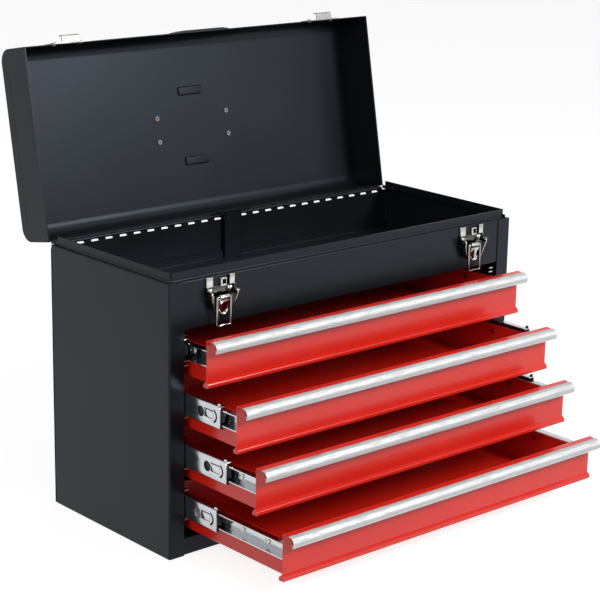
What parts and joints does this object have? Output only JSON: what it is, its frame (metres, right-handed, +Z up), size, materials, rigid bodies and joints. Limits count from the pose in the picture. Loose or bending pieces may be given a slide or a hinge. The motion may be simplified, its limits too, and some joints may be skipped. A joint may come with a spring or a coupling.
{
  "type": "portable tool box with drawers",
  "caption": "Portable steel tool box with a hinged lid over an open tray, drawers on ball-bearing slides, draw latches and a folding carrying handle.",
  "frame": {"origin": "centre of the case's bottom face", "axes": "+X to the right seen from the front, +Y to the back, +Z up; the drawers open towards -Y"},
  "size_m": [0.52, 0.4978, 0.5348],
  "materials": {
    "case_paint": "satin textured powder coat",
    "drawer_paint": "gloss",
    "zinc": "bright zinc plate",
    "nickel": "nickel plate",
    "trim_aluminium": "finely ribbed, bright",
    "chrome_bar": "polished",
    "grip_plastic": "matte",
    "cage_steel": "oiled"
  },
  "bodies": {
    "cabinet": {"side_panel_left": "case_paint", "side_panel_right": "case_paint", "back_panel": "case_paint", "bottom_pan": "case_paint", "apron_panel": "case_paint", "tray_floor": "case_paint", "slide_channels": "case_paint", "slide_outers": "zinc", "channel_screws": "zinc", "hinge_rod": "zinc", "lock_bar_guides": "case_paint", "latch_bases": "nickel", "latch_rivets": "nickel", "latch_pins": "nickel"},
    "lid": {"lid_skin": "case_paint", "lid_end_left": "case_paint", "lid_end_right": "case_paint", "lid_rivets": "zinc", "keepers": "nickel", "name_plate": "case_paint", "handle_brackets": "case_paint"},
    "handle": {"handle_bail": "chrome_bar", "handle_grip": "grip_plastic"},
    "lock_bar": {"lock_bar": "case_paint"},
    "latch_lever_left": {"latch_lever_left": "nickel"},
    "latch_lever_right": {"latch_lever_right": "nickel"},
    "latch_bail_left": {"latch_bail_left": "nickel"},
    "latch_bail_right": {"latch_bail_right": "nickel"},
    "drawer_1": {"drawer_front_1": "drawer_paint", "drawer_tray_1": "drawer_paint", "drawer_pull_1": "trim_aluminium", "slide_inner_1": "zinc", "drawer_screws_1": "nickel"},
    "slide_mid_1": {"slide_mid_1": "zinc"},
    "inner_ball_cage_1": {"inner_ball_cage_1": "cage_steel"},
    "outer_ball_cage_1": {"outer_ball_cage_1": "cage_steel"},
    "drawer_2": {"drawer_front_2": "drawer_paint", "drawer_tray_2": "drawer_paint", "drawer_pull_2": "trim_aluminium", "slide_inner_2": "zinc", "drawer_screws_2": "nickel"},
    "slide_mid_2": {"slide_mid_2": "zinc"},
    "inner_ball_cage_2": {"inner_ball_cage_2": "cage_steel"},
    "outer_ball_cage_2": {"outer_ball_cage_2": "cage_steel"},
    "drawer_3": {"drawer_front_3": "drawer_paint", "drawer_tray_3": "drawer_paint", "drawer_pull_3": "trim_aluminium", "slide_inner_3": "zinc", "drawer_screws_3": "nickel"},
    "slide_mid_3": {"slide_mid_3": "zinc"},
    "inner_ball_cage_3": {"inner_ball_cage_3": "cage_steel"},
    "outer_ball_cage_3": {"outer_ball_cage_3": "cage_steel"},
    "drawer_4": {"drawer_front_4": "drawer_paint", "drawer_tray_4": "drawer_paint", "drawer_pull_4": "trim_aluminium", "slide_inner_4": "zinc", "drawer_screws_4": "nickel"},
    "slide_mid_4": {"slide_mid_4": "zinc"},
    "inner_ball_cage_4": {"inner_ball_cage_4": "cage_steel"},
    "outer_ball_cage_4": {"outer_ball_cage_4": "cage_steel"}
  },
  "joints": [
    {"name": "lid_hinge", "type": "hinge", "parent": "cabinet", "child": "lid", "pos_m": [0, 0.1128, 0.3083], "axis": [-1, 0, 0], "range_deg": [-100.6, 0]},
    {"name": "handle_swing", "type": "hinge", "parent": "lid", "child": "handle", "pos_m": [0, 0.19663, 0.40396], "axis": [1, 0, 0], "range_deg": [-10, 169]},
    {"name": "lock_bar_slide", "type": "slide", "parent": "cabinet", "child": "lock_bar", "axis": [0, 0, 1], "range_m": [-0.0061, 0]},
    {"name": "latch_lever_left_hinge", "type": "hinge", "parent": "cabinet", "child": "latch_lever_left", "pos_m": [-0.192, -0.1169, 0.291], "axis": [1, 0, 0], "range_deg": [-160, 0]},
    {"name": "latch_bail_left_hinge", "type": "hinge", "parent": "latch_lever_left", "child": "latch_bail_left", "pos_m": [-0.192, -0.1169, 0.287], "axis": [-1, 0, 0], "range_deg": [0, 185]},
    {"name": "latch_lever_right_hinge", "type": "hinge", "parent": "cabinet", "child": "latch_lever_right", "pos_m": [0.192, -0.1169, 0.291], "axis": [1, 0, 0], "range_deg": [-160, 0]},
    {"name": "latch_bail_right_hinge", "type": "hinge", "parent": "latch_lever_right", "child": "latch_bail_right", "pos_m": [0.192, -0.1169, 0.287], "axis": [-1, 0, 0], "range_deg": [0, 185]},
    {"name": "slide_mid_1_slide", "type": "slide", "parent": "cabinet", "child": "slide_mid_1", "axis": [0, -1, 0], "range_m": [0, 0.105]},
    {"name": "drawer_1_slide", "type": "slide", "parent": "slide_mid_1", "child": "drawer_1", "axis": [0, -1, 0], "range_m": [-0.036, 0.069]},
    {"name": "outer_ball_cage_1_slide", "type": "slide", "parent": "cabinet", "child": "outer_ball_cage_1", "axis": [0, -1, 0], "range_m": [0, 0.0525]},
    {"name": "inner_ball_cage_1_slide", "type": "slide", "parent": "slide_mid_1", "child": "inner_ball_cage_1", "axis": [0, -1, 0], "range_m": [-0.018, 0.0345]},
    {"name": "slide_mid_2_slide", "type": "slide", "parent": "cabinet", "child": "slide_mid_2", "axis": [0, -1, 0], "range_m": [-0.063, 0.042]},
    {"name": "drawer_2_slide", "type": "slide", "parent": "slide_mid_2", "child": "drawer_2", "axis": [0, -1, 0], "range_m": [-0.0235, 0.0815]},
    {"name": "outer_ball_cage_2_slide", "type": "slide", "parent": "cabinet", "child": "outer_ball_cage_2", "axis": [0, -1, 0], "range_m": [-0.0315, 0.021]},
    {"name": "inner_ball_cage_2_slide", "type": "slide", "parent": "slide_mid_2", "child": "inner_ball_cage_2", "axis": [0, -1, 0], "range_m": [-0.01175, 0.04075]},
    {"name": "slide_mid_3_slide", "type": "slide", "parent": "cabinet", "child": "slide_mid_3", "axis": [0, -1, 0], "range_m": [-0.074, 0.031]},
    {"name": "drawer_3_slide", "type": "slide", "parent": "slide_mid_3", "child": "drawer_3", "axis": [0, -1, 0], "range_m": [-0.0445, 0.0605]},
    {"name": "outer_ball_cage_3_slide", "type": "slide", "parent": "cabinet", "child": "outer_ball_cage_3", "axis": [0, -1, 0], "range_m": [-0.037, 0.0155]},
    {"name": "inner_ball_cage_3_slide", "type": "slide", "parent": "slide_mid_3", "child": "inner_ball_cage_3", "axis": [0, -1, 0], "range_m": [-0.02225, 0.03025]},
    {"name": "slide_mid_4_slide", "type": "slide", "parent": "cabinet", "child": "slide_mid_4", "axis": [0, -1, 0], "range_m": [-0.058, 0.047]},
    {"name": "drawer_4_slide", "type": "slide", "parent": "slide_mid_4", "child": "drawer_4", "axis": [0, -1, 0], "range_m": [-0.104, 0.001]},
    {"name": "outer_ball_cage_4_slide", "type": "slide", "parent": "cabinet", "child": "outer_ball_cage_4", "axis": [0, -1, 0], "range_m": [-0.029, 0.0235]},
    {"name": "inner_ball_cage_4_slide", "type": "slide", "parent": "slide_mid_4", "child": "inner_ball_cage_4", "axis": [0, -1, 0], "range_m": [-0.052, 0.0005]}
  ],
  "couplings": [
    {"joint": "lock_bar_slide", "follows": "lid_hinge", "m_per_rad": 0.003417},
    {"joint": "outer_ball_cage_1_slide", "follows": "slide_mid_1_slide", "ratio": 0.5},
    {"joint": "inner_ball_cage_1_slide", "follows": "drawer_1_slide", "ratio": 0.5},
    {"joint": "outer_ball_cage_2_slide", "follows": "slide_mid_2_slide", "ratio": 0.5},
    {"joint": "inner_ball_cage_2_slide", "follows": "drawer_2_slide", "ratio": 0.5},
    {"joint": "outer_ball_cage_3_slide", "follows": "slide_mid_3_slide", "ratio": 0.5},
    {"joint": "inner_ball_cage_3_slide", "follows": "drawer_3_slide", "ratio": 0.5},
    {"joint": "outer_ball_cage_4_slide", "follows": "slide_mid_4_slide", "ratio": 0.5},
    {"joint": "inner_ball_cage_4_slide", "follows": "drawer_4_slide", "ratio": 0.5}
  ]
}
